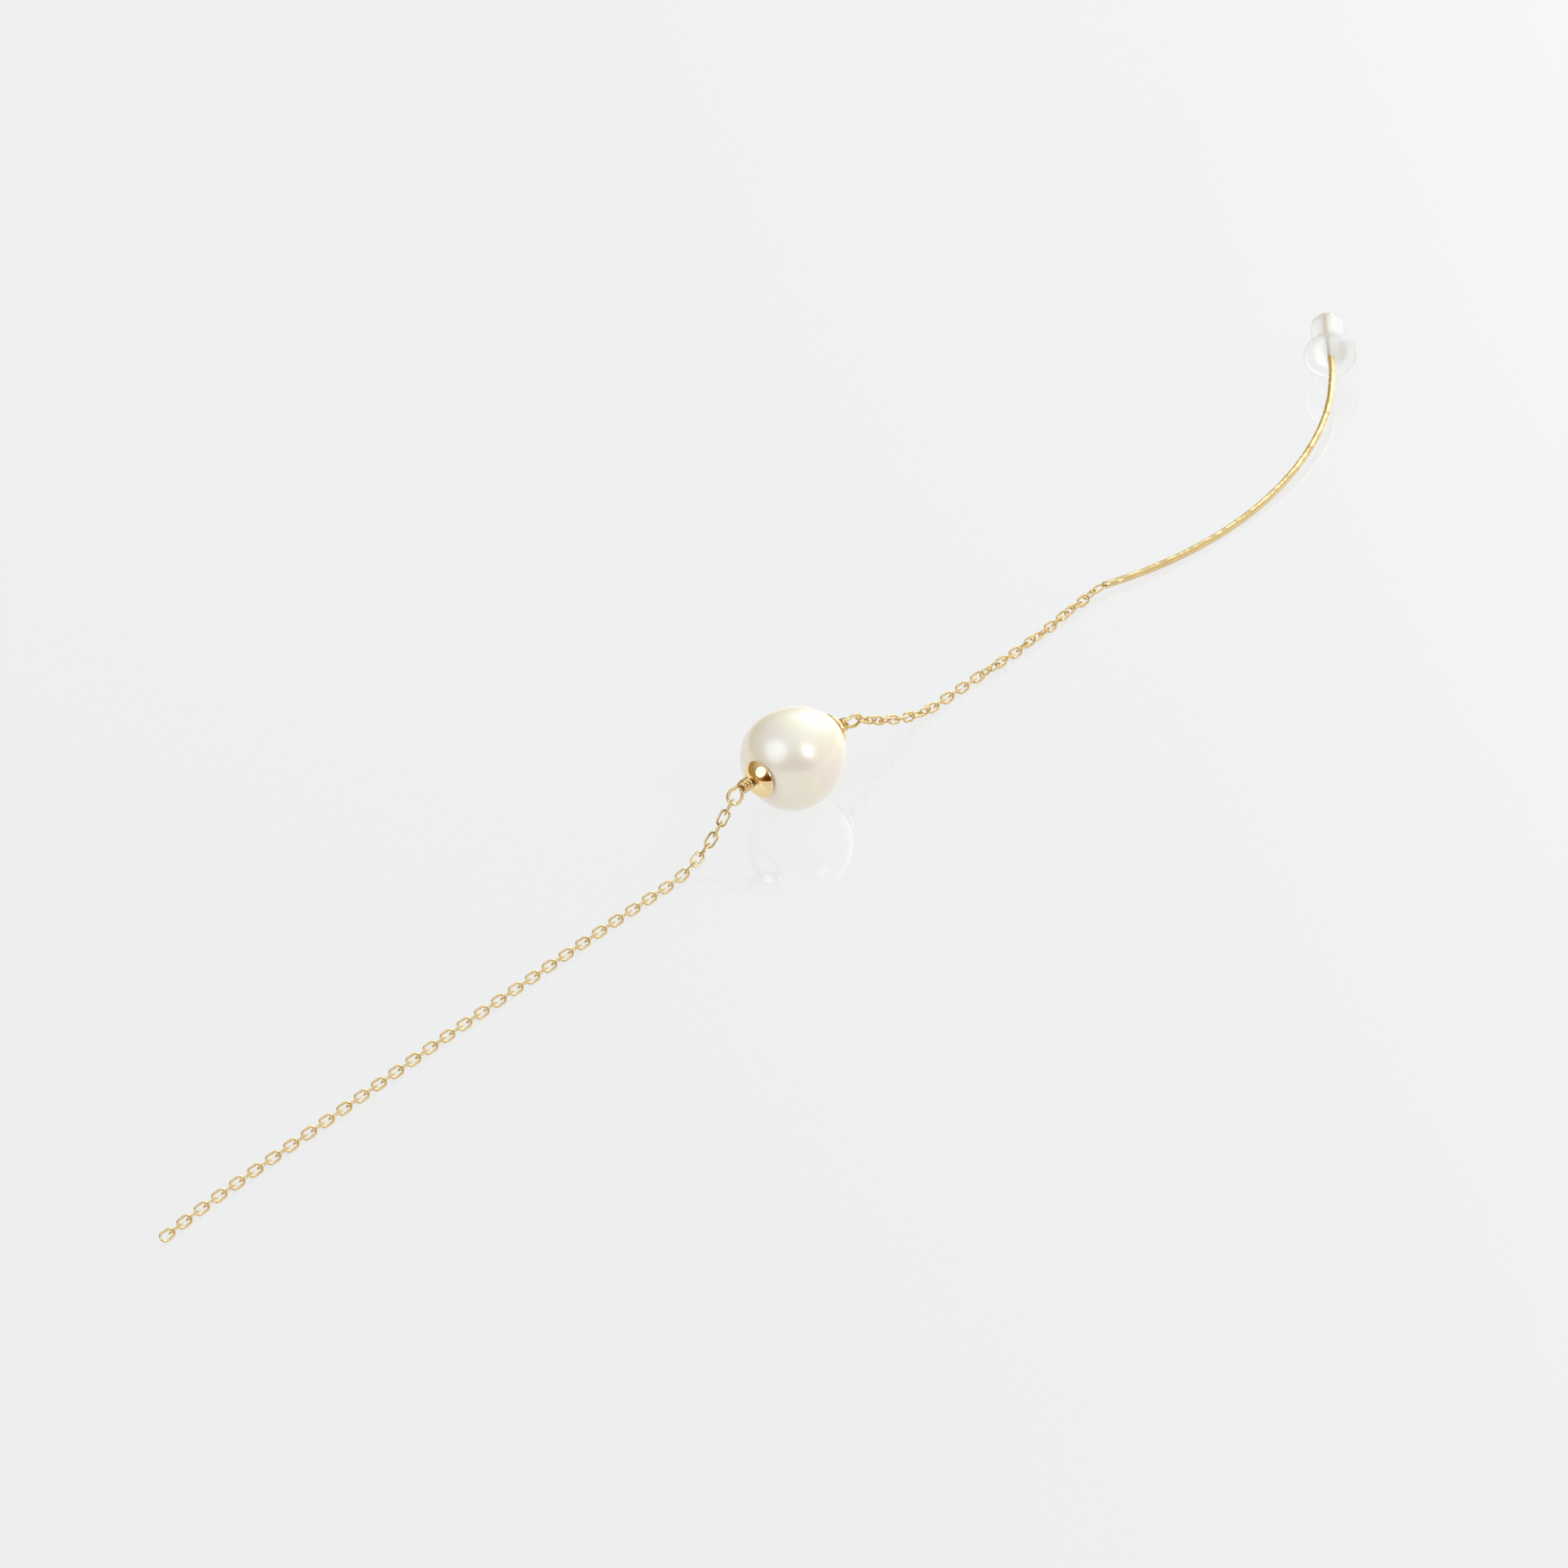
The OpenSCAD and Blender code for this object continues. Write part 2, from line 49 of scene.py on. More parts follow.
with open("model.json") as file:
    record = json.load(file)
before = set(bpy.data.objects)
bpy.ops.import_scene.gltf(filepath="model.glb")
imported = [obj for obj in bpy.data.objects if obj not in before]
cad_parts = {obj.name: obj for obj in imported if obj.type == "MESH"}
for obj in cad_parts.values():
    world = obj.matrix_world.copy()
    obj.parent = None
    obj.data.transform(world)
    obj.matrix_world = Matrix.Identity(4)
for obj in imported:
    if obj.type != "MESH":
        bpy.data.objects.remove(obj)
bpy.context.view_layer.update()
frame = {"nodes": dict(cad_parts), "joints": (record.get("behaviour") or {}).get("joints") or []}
MM = 0.001
BODY = "earring"
STOPPER_BODY = "stopper"


def length(name, description, millimetres, **more):
    """A size of the earring, given in millimetres and kept in metres."""
    return FloatProperty(name=name, description=description, default=millimetres * MM,
                         unit="LENGTH", subtype="DISTANCE", precision=6, **more)


def degrees(name, description, value):
    """An angle of the earring, given in degrees and kept in radians."""
    return FloatProperty(name=name, description=description, default=math.radians(value),
                         unit="ROTATION", subtype="ANGLE")


def hex_colour(name, description, value):
    """A colour given as a sRGB hex value."""
    return StringProperty(name=name, description=description, default=value, maxlen=7)


def linear(value):
    """A sRGB hex value such as #d9a441 as a linear colour with an alpha of 1."""
    parts = [int(value[i:i + 2], 16) / 255 for i in (1, 3, 5)]
    parts = [c / 12.92 if c <= 0.04045 else ((c + 0.055) / 1.055) ** 2.4 for c in parts]
    return (*parts, 1.0)


class PearlSettings(bpy.types.PropertyGroup):
    diameter: length("Diameter", "Diameter of the pearl across its drill hole", 8.1)
    length: length("Length", "Length of the pearl along its drill hole", 8.76)
    swell: length("Swell", "Distance of the widest place from the middle, towards the long chain", 0.58)
    hole_d: length("Drill hole", "Diameter of the drill hole", 0.6)
    hole_rise: length("Hole rise", "Height of the drill hole above the pearl's middle", 0.22)
    slope: degrees("Slope", "Slope of the drill hole, down towards the ear wire", 1.7)
    turn: degrees("Turn", "Turn of the drill hole, seen from above", -1.2)
    ripple: length("Ripple", "Height of the soft ripples in the nacre", 0.012)
    body_colour: hex_colour("Body colour", "Cream body of the nacre", "#fff8e5")
    rose_colour: hex_colour("Rose overtone", "Rose overtone of the nacre", "#ffeee0")
    green_colour: hex_colour("Green overtone", "Green overtone of the nacre", "#fbf5d6")


class CapSettings(bpy.types.PropertyGroup):
    diameter: length("Diameter", "Diameter over the rolled rim", 3.05)
    height: length("Height", "Height of the cap", 0.95)
    hole_d: length("Hole", "Diameter of the hole at the top", 0.72)
    wall: length("Sheet", "Thickness of the sheet", 0.14)
    rim_t: length("Rim", "Thickness of the rolled rim", 0.22)
    lean: degrees("Lean", "Lean of both caps on the wire", 4)
    drop: length("Drop", "Drop of the cap on the long chain's side", 0.15)


class PearlWireSettings(bpy.types.PropertyGroup):
    diameter: length("Diameter", "Diameter of the wire", 0.27)
    upper_turns: FloatProperty(name="Upper turns", description="Turns of the short chain's wrap", default=1.9)
    lower_turns: FloatProperty(name="Lower turns", description="Turns of the long chain's wrap", default=3.1)
    neck: length("Neck", "Wire between a wrap and its eye", 0.1)
    eye_len: length("Eye length", "Length of an eye, inside", 1.34)
    eye_w: length("Eye width", "Width of an eye, inside", 0.8)
    wrap_gap: length("Wrap gap", "Gap between the turns of a wrap", 0.05)
    wrap_room: length("Wrap room", "Gap between a wrap and the wire that it goes round", 0.14)
    tail: length("Tail", "Cut end that stands off the short chain's wrap", 0.28)
    upper_roll: degrees("Upper roll", "Roll of the short chain's eye about the wire", 100)
    upper_dip: degrees("Upper dip", "Dip of the short chain's eye", 18)
    lower_roll: degrees("Lower roll", "Roll of the long chain's eye about the wire", 150)
    lower_dip: degrees("Lower dip", "Dip of the long chain's eye", 17)
    lower_turn: degrees("Lower turn", "Sideways turn of the long chain's eye", 15)


class ChainSettings(bpy.types.PropertyGroup):
    wire_d: length("Wire", "Diameter of a link's wire", 0.19)
    link_w: length("Link width", "Width of a link, outside", 0.87)
    link_len: length("Link length", "Length of a link, outside", 1.52)
    sides: IntProperty(name="Sides", description="Sides of a link's wire", default=10)
    bend_steps: IntProperty(name="Bend steps", description="Steps round each bend of a link", default=9)


class EarWireSettings(bpy.types.PropertyGroup):
    diameter: length("Diameter", "Diameter of the ear wire", 0.6)
    length: length("Length", "Length of the ear wire along its curve", 48.6)
    bow_r: length("Bow", "Bend radius towards the chain", 43.3)
    tip_bow_r: length("Tip bow", "Bend radius towards the tip", 34.1)
    tip_bow_a: degrees("Tip bow angle", "Angle turned at the smaller radius", 20.6)
    touch_a: degrees("Touch angle", "Angle turned up to where the wire touches the surface", 15.8)
    lay_a: degrees("Lie", "Direction of the wire where it touches the surface", -4.9)
    lead: length("Lead", "Straight wire between the bow and the stopper", 0.3)
    tip_out: length("Tip", "Wire that shows past the stopper", 0.35)


class StopperSettings(bpy.types.PropertyGroup):
    flange_d: length("Flange", "Diameter of the flange", 4.6)
    flange_t: length("Flange thickness", "Thickness of the flange", 0.9)
    barrel_d: length("Barrel", "Diameter of the barrel", 2.9)
    length: length("Length", "Length of the whole stopper", 5.8)
    hole_gap: length("Hole gap", "Clearance round the wire, on the radius", 0.04)
    neck_r: length("Neck", "Radius of the hollow between barrel and flange", 0.35)
    colour: hex_colour("Colour", "Colour of the clear silicone", "#fdfefd")


class GoldSettings(bpy.types.PropertyGroup):
    colour: hex_colour("Colour", "Colour of the gold plating on the caps", "#ffeab8")
    deep_colour: hex_colour("Deep colour", "Colour where that plating is thicker", "#f6d49c")
    # Painted shade: the wire and chain gold below is set darker than the caps' gold. It stands in for the
    # shade and dark reflections among the links, on top of the plating's own random tone.
    wire_shaded_colour: hex_colour("Wire colour", "Colour of the gold plating on wire and chains", "#eedaa8")
    wire_shaded_deep_colour: hex_colour("Deep wire colour", "Colour where that plating is thicker", "#d8b67a")


class StageSettings(bpy.types.PropertyGroup):
    floor_size: length("Floor", "Side of the square floor", 3000)
    floor_colour: hex_colour("Floor colour", "Colour of the white acrylic sheet", "#e8e9ea")
    floor_share: FloatProperty(name="Floor share", default=0.1,
                               description="Share of the floor's light that comes from above")
    focal: FloatProperty(name="Focal length", default=160.8,
                         description="Lens on a 36 mm sensor, in millimetres")
    distance: length("Distance", "From the camera to the point on the floor that it looks at", 552)
    look_x: length("Look X", "X of the point on the floor that the camera looks at", -4.41)
    look_y: length("Look Y", "Y of the point on the floor that the camera looks at", -0.1)
    heading: degrees("Heading", "Direction in which the camera looks, from the X axis", 41.34)
    elevation: degrees("Elevation", "Angle of the camera above the floor", 30.9)
    roll: degrees("Roll", "Roll of the camera about its line of sight", -4.34)


def polar(radius, angle):
    """A point of the plane at a distance and an angle."""
    return Vector((radius * math.cos(angle), radius * math.sin(angle)))


def sweep(bm, path, radii, sides, closed=False):
    """Draws a round section along a path. An open path has flat ends."""
    count = len(path)
    before = [path[k - 1] if k or closed else path[0] for k in range(count)]
    after = [path[(k + 1) % count] if k < count - 1 or closed else path[k] for k in range(count)]
    ways = [(b - a).normalized() for a, b in zip(before, after)]
    ring = bmesh.ops.create_circle(bm, segments=sides, radius=radii[0])["verts"]
    first = list(ring)
    place = Matrix.Translation(path[0]) @ ways[0].to_track_quat("Z", "Y").to_matrix().to_4x4()
    bmesh.ops.transform(bm, verts=ring, matrix=place)
    edges = list({e for v in ring for e in v.link_edges})
    if not closed:
        bmesh.ops.contextual_create(bm, geom=edges)
    for k in range(1, count):
        grown = bmesh.ops.extrude_edge_only(bm, edges=edges)["geom"]
        ring = [v for v in grown if isinstance(v, bmesh.types.BMVert)]
        new = set(ring)
        edges = [e for e in grown if isinstance(e, bmesh.types.BMEdge) and set(e.verts) <= new]
        turn = ways[k - 1].rotation_difference(ways[k]).to_matrix()
        size = radii[k] / radii[k - 1]
        bmesh.ops.translate(bm, verts=ring, vec=path[k] - path[k - 1])
        bmesh.ops.rotate(bm, verts=ring, cent=path[k], matrix=turn)
        bmesh.ops.scale(bm, verts=ring, vec=(size, size, size), space=Matrix.Translation(-path[k]))
    if closed:
        ends = list({e for v in first for e in v.link_edges if set(e.verts) <= set(first)})
        bmesh.ops.bridge_loops(bm, edges=edges + ends)
    else:
        bmesh.ops.contextual_create(bm, geom=edges)
    bmesh.ops.recalc_face_normals(bm, faces=bm.faces[:])


def spun(bm, outline, steps):
    """Turns a closed outline of points [distance from the axis, height] about the Z axis."""
    verts = [bm.verts.new((p[0], 0, p[1])) for p in outline]
    edges = [bm.edges.new((a, b)) for a, b in zip(verts, verts[1:] + verts[:1])]
    bmesh.ops.spin(bm, geom=verts + edges, cent=(0, 0, 0), axis=(0, 0, 1), angle=2 * math.pi,
                   steps=steps, use_merge=True)
    bmesh.ops.remove_doubles(bm, verts=bm.verts[:], dist=1e-7)
    bmesh.ops.recalc_face_normals(bm, faces=bm.faces[:])


def finished(bm, name, material, body, nodes):
    """Makes a piece of a bmesh, smooth but for its sharp edges, in place of CAD nodes."""
    sharp_a = math.radians(50)
    mesh = bpy.data.meshes.new(name)
    for face in bm.faces:
        face.smooth = True
    for edge in bm.edges:
        edge.smooth = edge.calc_face_angle(0) < sharp_a
    bm.to_mesh(mesh)
    bm.free()
    mesh.materials.append(material)
    piece = bpy.data.objects.new(name, mesh)
    bpy.context.scene.collection.objects.link(piece)
    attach(piece, body)
    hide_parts(*nodes)


def add_node(tree, kind, settings=(), links=()):
    """Adds a shader node with its settings and with links from other nodes' outputs."""
    node = tree.nodes.new(kind)
    for key, value in dict(settings).items():
        if key in node.inputs:
            node.inputs[key].default_value = value
        else:
            setattr(node, key, value)
    for key, output in dict(links).items():
        tree.links.new(output, node.inputs[key])
    return node


def new_material(name):
    """An empty material, its node tree and its object coordinates."""
    material = bpy.data.materials.new(name)
    material.use_nodes = True
    tree = material.node_tree
    tree.nodes.clear()
    place = add_node(tree, "ShaderNodeTexCoord").outputs["Object"]
    return material, tree, place


def polished_gold(name, colour, deep_colour, roughness, dent_mm, dent_height):
    """Gold plating over brass, drawn or stamped and then tumbled: mirror-like with soft dents."""
    material, tree, place = new_material(name)
    cloud = add_node(tree, "ShaderNodeTexNoise", {"Scale": 1 / (1.3 * MM), "Detail": 2.0},
                     {"Vector": place})
    tone = add_node(tree, "ShaderNodeMix", {"data_type": "RGBA"}, {"Factor": cloud.outputs["Fac"]})
    tone.inputs["A"].default_value = linear(colour)
    tone.inputs["B"].default_value = linear(deep_colour)
    dents = add_node(tree, "ShaderNodeTexNoise", {"Scale": 1 / (dent_mm * MM), "Detail": 1.0},
                     {"Vector": place})
    bump = add_node(tree, "ShaderNodeBump", {"Strength": 1.0, "Distance": dent_height * MM},
                    {"Height": dents.outputs["Fac"]})
    haze = add_node(tree, "ShaderNodeMapRange", {"To Min": roughness * 0.7, "To Max": roughness * 1.4},
                    {"Value": cloud.outputs["Fac"]})
    shader = add_node(tree, "ShaderNodeBsdfPrincipled", {"Metallic": 1.0},
                      {"Roughness": haze.outputs["Result"], "Normal": bump.outputs["Normal"]})
    tree.links.new(tone.outputs[2], shader.inputs["Base Color"])
    add_node(tree, "ShaderNodeOutputMaterial", {}, {"Surface": shader.outputs["BSDF"]})
    return material


def nacre():
    """Nacre, grown in thin layers: a satin body under a clear skin, with rose and green clouds."""
    pearl = bpy.context.scene.earring_pearl
    material, tree, place = new_material("nacre")
    cloud = add_node(tree, "ShaderNodeTexNoise", {"Scale": 1 / (5 * MM), "Detail": 1.0}, {"Vector": place})
    swirl = add_node(tree, "ShaderNodeTexNoise", {"noise_dimensions": "4D", "W": 3.0,
                                                 "Scale": 1 / (3.2 * MM), "Detail": 2.0}, {"Vector": place})
    rose = add_node(tree, "ShaderNodeMapRange", {"From Min": 0.35, "From Max": 0.65},
                    {"Value": cloud.outputs["Fac"]})
    green = add_node(tree, "ShaderNodeMapRange", {"From Min": 0.45, "From Max": 0.75},
                     {"Value": swirl.outputs["Fac"]})
    first = add_node(tree, "ShaderNodeMix", {"data_type": "RGBA"}, {"Factor": rose.outputs["Result"]})
    first.inputs["A"].default_value = linear(pearl.body_colour)
    first.inputs["B"].default_value = linear(pearl.rose_colour)
    second = add_node(tree, "ShaderNodeMix", {"data_type": "RGBA"}, {"Factor": green.outputs["Result"]})
    tree.links.new(first.outputs[2], second.inputs["A"])
    second.inputs["B"].default_value = linear(pearl.green_colour)
    growth = add_node(tree, "ShaderNodeTexNoise", {"Scale": 1 / (0.5 * MM), "Detail": 3.0}, {"Vector": place})
    bump = add_node(tree, "ShaderNodeBump", {"Strength": 1.0, "Distance": 0.004 * MM},
                    {"Height": growth.outputs["Fac"]})
    shader = add_node(tree, "ShaderNodeBsdfPrincipled",
                      {"Roughness": 0.32, "IOR": 1.6, "Metallic": 0.16, "Subsurface Weight": 0.25,
                       "Subsurface Scale": 0.6 * MM, "Subsurface Radius": (1.0, 0.75, 0.55),
                       "Coat Weight": 0.8, "Coat Roughness": 0.15, "Coat IOR": 1.5},
                      {"Normal": bump.outputs["Normal"]})
    tree.links.new(second.outputs[2], shader.inputs["Base Color"])
    add_node(tree, "ShaderNodeOutputMaterial", {}, {"Surface": shader.outputs["BSDF"]})
    return material


def clear_silicone():
    """Moulded silicone rubber: clear with a milky haze that blurs what shows through, and a smooth skin."""
    stopper = bpy.context.scene.earring_stopper
    material, tree, place = new_material("clear silicone")
    bloom = add_node(tree, "ShaderNodeTexNoise", {"Scale": 1 / (0.8 * MM), "Detail": 2.0},
                     {"Vector": place})
    haze = add_node(tree, "ShaderNodeMapRange", {"To Min": 0.5, "To Max": 0.62},
                    {"Value": bloom.outputs["Fac"]})
    shader = add_node(tree, "ShaderNodeBsdfPrincipled",
                      {"Base Color": linear(stopper.colour), "IOR": 1.2, "Transmission Weight": 0.85,
                       "Coat Weight": 0.6, "Coat Roughness": 0.1},
                      {"Roughness": haze.outputs["Result"]})
    add_node(tree, "ShaderNodeOutputMaterial", {}, {"Surface": shader.outputs["BSDF"]})
    return material


def white_acrylic():
    """Opal acrylic lit from below, so hardly a shadow falls on it, with a gloss like a faint mirror."""
    stage = bpy.context.scene.earring_stage
    material, tree, place = new_material("white acrylic")
    glow = linear(stage.floor_colour)
    shader = add_node(tree, "ShaderNodeBsdfPrincipled",
                      {"Base Color": tuple(c * stage.floor_share for c in glow[:3]) + (1,),
                       "Roughness": 0.02, "IOR": 1.49, "Emission Color": glow,
                       "Emission Strength": 1 - stage.floor_share})
    add_node(tree, "ShaderNodeOutputMaterial", {}, {"Surface": shader.outputs["BSDF"]})
    return material


def pearl_place():
    """Where the pearl lies: from its own axis along X, with its widest place at 0."""
    pearl = bpy.context.scene.earring_pearl
    low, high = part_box("pearl")
    turned = Matrix.Rotation(pearl.turn, 4, "Z") @ Matrix.Rotation(pearl.slope, 4, "Y")
    return Matrix.Translation((low + high) / 2 - Vector((pearl.swell, 0, 0))) @ turned


def along_x():
    """Lays what was spun about Z along the X axis."""
    return Matrix.Rotation(math.pi / 2, 4, "Y")


def local_span(node, place):
    """The lowest and highest X of a CAD node, measured along a place's own X axis."""
    back = place.inverted()
    xs = [(back @ v.co).x for v in frame["nodes"][node].data.vertices]
    return min(xs), max(xs)


class EARRING_OT_pearl(bpy.types.Operator):
    """Add the drilled pearl"""

    bl_idname = "earring.pearl"
    bl_label = "Pearl"

    def execute(self, context):
        pearl = context.scene.earring_pearl
        radius, hole_r = pearl.diameter / 2, pearl.hole_d / 2
        steps, round_steps = 90, 128
        broad_ripple, fine_ripple = 2.2 * MM, 0.9 * MM
        first = math.asin(hole_r / radius)
        angles = [first + (math.pi - 2 * first) * k / steps for k in range(steps + 1)]
        halves = [pearl.length / 2 + math.copysign(pearl.swell, math.cos(a)) for a in angles]
        outline = [(radius * math.sin(a), half * math.cos(a)) for a, half in zip(angles, halves)]
        bm = bmesh.new()
        spun(bm, outline, round_steps)
        for vert in bm.verts:
            x, y, z = vert.co
            off_axis = math.hypot(x, y)
            if off_axis > hole_r * 1.01:
                rise = noise.noise(vert.co / broad_ripple) + 0.4 * noise.noise(vert.co / fine_ripple)
                vert.co += vert.co.normalized() * pearl.ripple * rise
            vert.co.x -= pearl.hole_rise * (1 - min(off_axis / radius, 1) ** 2)
        bmesh.ops.transform(bm, verts=bm.verts[:], matrix=pearl_place() @ along_x())
        finished(bm, "drilled_pearl", nacre(), BODY, ["pearl"])
        return {"FINISHED"}


def cap_outline(cap):
    """Half section of a bead cap: a domed sheet with a hole at its top and a rolled rim."""
    half, hole_r = cap.diameter / 2, cap.hole_d / 2
    rise = cap.height - cap.rim_t / 2
    dome_r = (half ** 2 + rise ** 2) / (2 * rise)
    middle = cap.height - dome_r
    inner_r = dome_r - cap.wall
    rim_mid = half - cap.rim_t / 2
    outer_low = math.asin(half / dome_r)
    inner_low = math.acos((0.75 * cap.rim_t - middle) / inner_r)
    outer_top, inner_top = math.asin(hole_r / dome_r), math.asin(hole_r / inner_r)
    steps = 20
    outer = [outer_top + (outer_low - outer_top) * k / steps for k in range(steps)]
    inner = [inner_low + (inner_top - inner_low) * k / steps for k in range(steps + 1)]
    rim = [math.radians(-15 * k) for k in range(14)]
    return (
        [(dome_r * math.sin(a), middle + dome_r * math.cos(a)) for a in outer]
        + [(rim_mid + cap.rim_t / 2 * math.cos(a), cap.rim_t / 2 * (1 + math.sin(a))) for a in rim]
        + [(inner_r * math.sin(a), middle + inner_r * math.cos(a)) for a in inner]
    )


class EARRING_OT_bead_caps(bpy.types.Operator):
    """Add the two bead caps beside the pearl"""

    bl_idname = "earring.bead_caps"
    bl_label = "Bead Caps"

    def execute(self, context):
        cap, pearl = context.scene.earring_cap, context.scene.earring_pearl
        gold = context.scene.earring_gold
        metal = polished_gold("polished gold cap", gold.colour, gold.deep_colour, 0.06, 0.6, 0.006)
        place = pearl_place()
        for name, node, way, drop in (("bead_cap_upper", "cap_upper", 1, 0),
                                      ("bead_cap_lower", "cap_lower", -1, cap.drop)):
            low, high = local_span(node, place)
            top = high if way > 0 else -low
            bm = bmesh.new()
            spun(bm, cap_outline(cap), 96)
            bmesh.ops.transform(bm, verts=bm.verts[:], matrix=Matrix.Translation((0, 0, -cap.height)))
            lean = Matrix.Rotation(-cap.lean, 4, "Z") @ Matrix.Rotation(-cap.lean / 2, 4, "Y")
            side = Matrix.Rotation(0 if way > 0 else math.pi, 4, "Z")
            raised = Matrix.Translation((0, 0, pearl.hole_rise - drop))
            seated = Matrix.Translation((top - self.lean_rise(cap), 0, 0))
            laid = place @ raised @ side @ seated @ lean @ along_x()
            bmesh.ops.transform(bm, verts=bm.verts[:], matrix=laid)
            finished(bm, name, metal, BODY, [node])
        return {"FINISHED"}

    @staticmethod
    def lean_rise(cap):
        """How far the hole's edge stands past the middle of the dome's top once the cap leans."""
        return cap.hole_d / 2 * math.sin(math.hypot(cap.lean, cap.lean / 2))


def wire_half(wire, start_x, turns, eye_turn, tail):
    """Half of the pearl's wire: straight out to the neck, round the eye and back in a wrap."""
    eye_steps, turn_steps, widen_steps, start_a = 40, 28, 10, math.radians(20)
    eye_a, eye_b = (wire.eye_len + wire.diameter) / 2, (wire.eye_w + wire.diameter) / 2
    pitch = wire.diameter + wire.wrap_gap
    wrap_r = wire.diameter + wire.wrap_room
    neck = Vector((start_x, 0, 0))
    stop_a = 2 * math.pi - math.asin(pitch / eye_b)
    path = [neck - Vector((0.3 * eye_a, 0, 0))]
    for k in range(eye_steps + 1):
        a = start_a + (stop_a - start_a) * k / eye_steps
        path.append(neck + eye_turn @ Vector((eye_a * (1 - math.cos(a)), -eye_b * math.sin(a), 0)))
    wrap_x = start_x - wire.neck - wire.diameter / 2
    roll = eye_turn.to_euler("XYZ").x
    for k in range(int(turns * turn_steps) + 1):
        a = roll - 2 * math.pi * k / turn_steps
        r = pitch + (wrap_r - pitch) * min(k / widen_steps, 1)
        path.append(Vector((wrap_x - pitch * k / turn_steps, r * math.cos(a), r * math.sin(a))))
    if tail:
        path.append(path[-1] + (path[-1] - path[-2]).normalized() * tail)
    return path


class EARRING_OT_pearl_wire(bpy.types.Operator):
    """Add the wire through the pearl with its two wrapped eyes"""

    bl_idname = "earring.pearl_wire"
    bl_label = "Pearl Wire"

    def execute(self, context):
        wire, pearl = context.scene.earring_pearl_wire, context.scene.earring_pearl
        place = pearl_place()
        low, high = local_span("pearl_wire", place)
        turns = [self.eye_turn(wire.upper_roll, wire.upper_dip, 0),
                 self.eye_turn(wire.lower_roll, wire.lower_dip, wire.lower_turn)]
        necks = [end - self.reach(wire, turn) for end, turn in zip((high, -low), turns)]
        upper = wire_half(wire, necks[0], wire.upper_turns, turns[0], wire.tail)
        lower = wire_half(wire, necks[1], wire.lower_turns, turns[1], 0)
        path = [Vector((-p.x, -p.y, p.z)) for p in reversed(lower)] + upper
        path = [place @ (p + Vector((0, 0, pearl.hole_rise))) for p in path]
        bm = bmesh.new()
        sides = 14
        sweep(bm, path, [wire.diameter / 2] * len(path), sides)
        gold = context.scene.earring_gold
        # The wire's gold carries painted shade: it is darker than the caps' gold.
        metal = polished_gold("drawn gold wire", gold.wire_shaded_colour, gold.wire_shaded_deep_colour, 0.08, 0.25, 0.006)
        finished(bm, "wrapped_wire", metal, BODY, ["pearl_wire"])
        return {"FINISHED"}

    @staticmethod
    def eye_turn(roll, dip, turn):
        """An eye is rolled about the wire, dipped and then turned sideways."""
        return Matrix.Rotation(turn, 3, "Z") @ Matrix.Rotation(dip, 3, "Y") @ Matrix.Rotation(roll, 3, "X")

    @staticmethod
    def reach(wire, turn):
        """How far an eye's outside reaches past its neck, measured to the flats of the solid's wire."""
        flat_a = math.radians(30)
        eye_a, eye_b = (wire.eye_len + wire.diameter) / 2, (wire.eye_w + wire.diameter) / 2
        along = [(turn @ Vector((eye_a * (1 - math.cos(a)), -eye_b * math.sin(a), 0))).x
                 for a in (math.radians(k) for k in range(360))]
        return max(along) + wire.diameter / 2 * math.cos(flat_a / 2)


def link_shape(bm, chain):
    """One link on the XY plane along X: two half rings and two straight sides."""
    bend_r = (chain.link_w - chain.wire_d) / 2
    half = (chain.link_len - chain.link_w) / 2
    path = []
    for end in (1, -1):
        for k in range(chain.bend_steps + 1):
            a = -math.pi / 2 + math.pi * k / chain.bend_steps
            path.append(Vector((end * (half + bend_r * math.cos(a)), end * bend_r * math.sin(a), 0)))
        path.append(Vector((0, end * bend_r, 0)))
    sweep(bm, path, [chain.wire_d / 2] * len(path), chain.sides, closed=True)


def islands(mesh):
    """The separate solids of a mesh of loose triangles, each as a list of points."""
    bm = bmesh.new()
    bm.from_mesh(mesh)
    bmesh.ops.remove_doubles(bm, verts=bm.verts[:], dist=1e-7)
    left = set(bm.verts)
    found = []
    while left:
        reached = [left.pop()]
        for vert in reached:
            fresh = {e.other_vert(vert) for e in vert.link_edges} & left
            left -= fresh
            reached.extend(fresh)
        found.append([v.co.copy() for v in reached])
    bm.free()
    return found


def link_places(node):
    """Where each link of a CAD chain lies: its long side is X, its width Y and its thickness Z."""
    places = []
    for points in islands(frame["nodes"][node].data):
        cloud = np.array(points)
        spread = np.linalg.svd(cloud - cloud.mean(0), full_matrices=False)[2]
        flat = (cloud - cloud.mean(0)) @ spread.T
        middle = cloud.mean(0) + ((flat.min(0) + flat.max(0)) / 2) @ spread
        x, y = Vector(spread[0]), Vector(spread[1])
        turned = Matrix((x, y, x.cross(y))).transposed().to_4x4()
        places.append(Matrix.Translation(Vector(middle)) @ turned)
    return sorted(places, key=lambda m: m.translation.x)


def laid_links(bm, chain, places):
    """Lays one link at each place."""
    link_shape(bm, chain)
    shape = bm.verts[:] + bm.edges[:] + bm.faces[:]
    for place in places[1:]:
        copy = bmesh.ops.duplicate(bm, geom=shape)["geom"]
        verts = [v for v in copy if isinstance(v, bmesh.types.BMVert)]
        bmesh.ops.transform(bm, verts=verts, matrix=place)
    bmesh.ops.transform(bm, verts=[v for v in shape if isinstance(v, bmesh.types.BMVert)], matrix=places[0])


